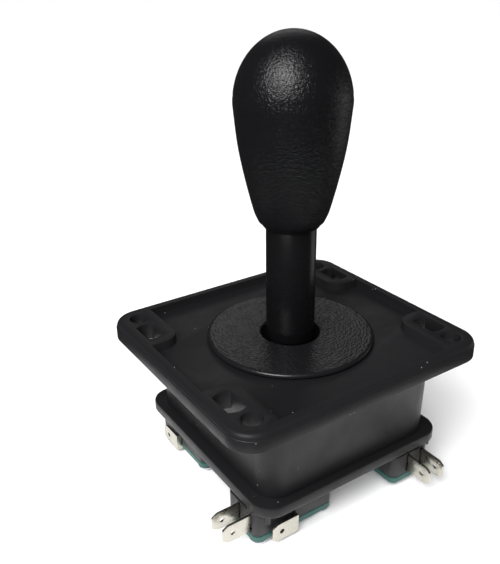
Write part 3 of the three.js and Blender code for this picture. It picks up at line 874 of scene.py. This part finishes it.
def screw_mesh(name, seat, head_r, head_high, shank_r, shank_high):
    """A slotted round head hanging below its seat, with the shank going up; heights from 0."""
    turns = 8
    dome = [(head_r * math.sin(math.pi / 2 * i / turns),
             seat - head_high * math.cos(math.pi / 2 * i / turns)) for i in range(turns + 1)]
    dome[0] = (0, seat - head_high)
    tip = seat + shank_high
    head = turned(name, [*dome, (head_r, seat), (shank_r, seat), (shank_r, tip - TIP_EASE),
                         (shank_r - TIP_EASE, tip), (0, tip)], 40)
    cut = rounded(2 * head_r + 1, SCREW_SLOT_WIDE, 0.05, steps=1)
    slot = loft("slot", [(cut, seat - head_high - CLEAR), (cut, seat - head_high + SCREW_SLOT_DEEP)])
    combine(head, [slot], "DIFFERENCE")
    soften(head, FINE_EDGE)
    return head


def instance_tree(name, original, material):
    """Copies one object to every point of the mesh it is given."""
    tree = bpy.data.node_groups.new(name, "GeometryNodeTree")
    tree.interface.new_socket("Geometry", in_out="INPUT", socket_type="NodeSocketGeometry")
    size = tree.interface.new_socket("Scale", in_out="INPUT", socket_type="NodeSocketFloat")
    tree.interface.new_socket("Geometry", in_out="OUTPUT", socket_type="NodeSocketGeometry")
    add = tree.nodes.new
    link = tree.links.new
    entry, leave = add("NodeGroupInput"), add("NodeGroupOutput")
    source, copies = add("GeometryNodeObjectInfo"), add("GeometryNodeInstanceOnPoints")
    source.inputs["Object"].default_value = original
    turn = add("FunctionNodeRandomValue")
    turn.data_type = "FLOAT"
    turn.inputs["Max"].default_value = 2 * math.pi
    turn.inputs["Seed"].default_value = TURN_SEED
    spin = add("ShaderNodeCombineXYZ")
    link(turn.outputs[1], spin.inputs["Z"])
    link(entry.outputs["Geometry"], copies.inputs["Points"])
    link(source.outputs["Geometry"], copies.inputs["Instance"])
    link(spin.outputs["Vector"], copies.inputs["Rotation"])
    link(entry.outputs["Scale"], copies.inputs["Scale"])
    real, paint = add("GeometryNodeRealizeInstances"), add("GeometryNodeSetMaterial")
    paint.inputs["Material"].default_value = material
    link(copies.outputs["Instances"], real.inputs["Geometry"])
    link(real.outputs["Geometry"], paint.inputs["Geometry"])
    link(paint.outputs["Geometry"], leave.inputs["Geometry"])
    return tree, size.identifier


def on_points(name, original, places, material):
    mesh = bpy.data.meshes.new(name)
    mesh.from_pydata([(x * MM, y * MM, 0) for x, y in places], [], [])
    made = new_object(name, mesh)
    tree, size = instance_tree(name, original, material)
    modifier = made.modifiers.new("copies", "NODES")
    modifier.node_group = tree
    modifier[size] = 1.0
    settle(made)
    bpy.data.objects.remove(original)
    smooth(made, 40)
    return made


PIN_LOW, PIN_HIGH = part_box("switch_front_screw_outer")
PIN_HEAD_R, PIN_HEAD_HIGH, PIN_R = 2.8, 1.7, 1.4
pin_seat = (PIN_LOW.z - RIM) / MM + PIN_HEAD_HIGH
pin_reach = (PIN_HIGH.z - RIM) / MM - pin_seat
pin = screw_mesh("pin", pin_seat, PIN_HEAD_R, PIN_HEAD_HIGH, PIN_R, pin_reach)
switch_screws = on_points("switch_screws", pin, all_pins, steel)
finished(switch_screws, steel, "base", "steel",
         *[f"switch_{side}_screw_{end}" for side in SIDES for end in ("outer", "inner")])

# %% [markdown]
# Everything else
#
# The inner parts and the switches already have the right shape in the engineering model.
# A copy of each is welded, its edges are rounded by a hair, and it gets its own finish.

# %% Refined copies
INNER_EDGE, CASE_EDGE, PLUNGER_EDGE = 0.12, 0.2, 0.1


def refined(name, material, body, slot, width_mm):
    """A welded, softened copy of an engineering part, standing in its place."""
    made = new_object(name + "_fine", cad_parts[name].data.copy())
    soften(made, width_mm)
    return finished(made, material, body, slot, name)


INNER = {
    # The pivot ball is black: partly a guess at its real colour, partly painted shade, so the gap round
    # the sleeve reads dark.
    "pivot_ball": (case_black, "stick_carrier", "housing_plastic"),
    "centering_flange": (nylon_white, "stick_carrier", "nylon"),
    "switch_actuator": (nylon_white, "stick_carrier", "nylon"),
    "lower_washer": (steel, "stick_carrier", "steel"),
    "steel_shaft": (steel, "handle", "steel"),
    "e_clip": (steel, "handle", "steel"),
    "spring_seat": (steel, "base", "steel"),
}
for name, (material, body, slot) in INNER.items():
    refined(name, material, body, slot, INNER_EDGE)
for number in range(1, 5):
    refined(f"corner_screw_{number}", steel, "base", "steel", FINE_EDGE)
for side in SIDES:
    refined(f"switch_{side}_case", case_black, "base", "switch_case", CASE_EDGE)
    refined(f"switch_{side}_cover", cover_green, "base", "switch_cover", CASE_EDGE)
    refined(f"switch_{side}_plunger", plunger_red, f"plunger_{side}", "plunger_plastic", PLUNGER_EDGE)
    for contact in ("com", "nc", "no"):
        refined(f"switch_{side}_{contact}_blade", tin, "base", "blade_metal", FINE_EDGE)

# %% Sizes and finish
low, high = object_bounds()
print("visual size", [round(v, 4) for v in high - low])
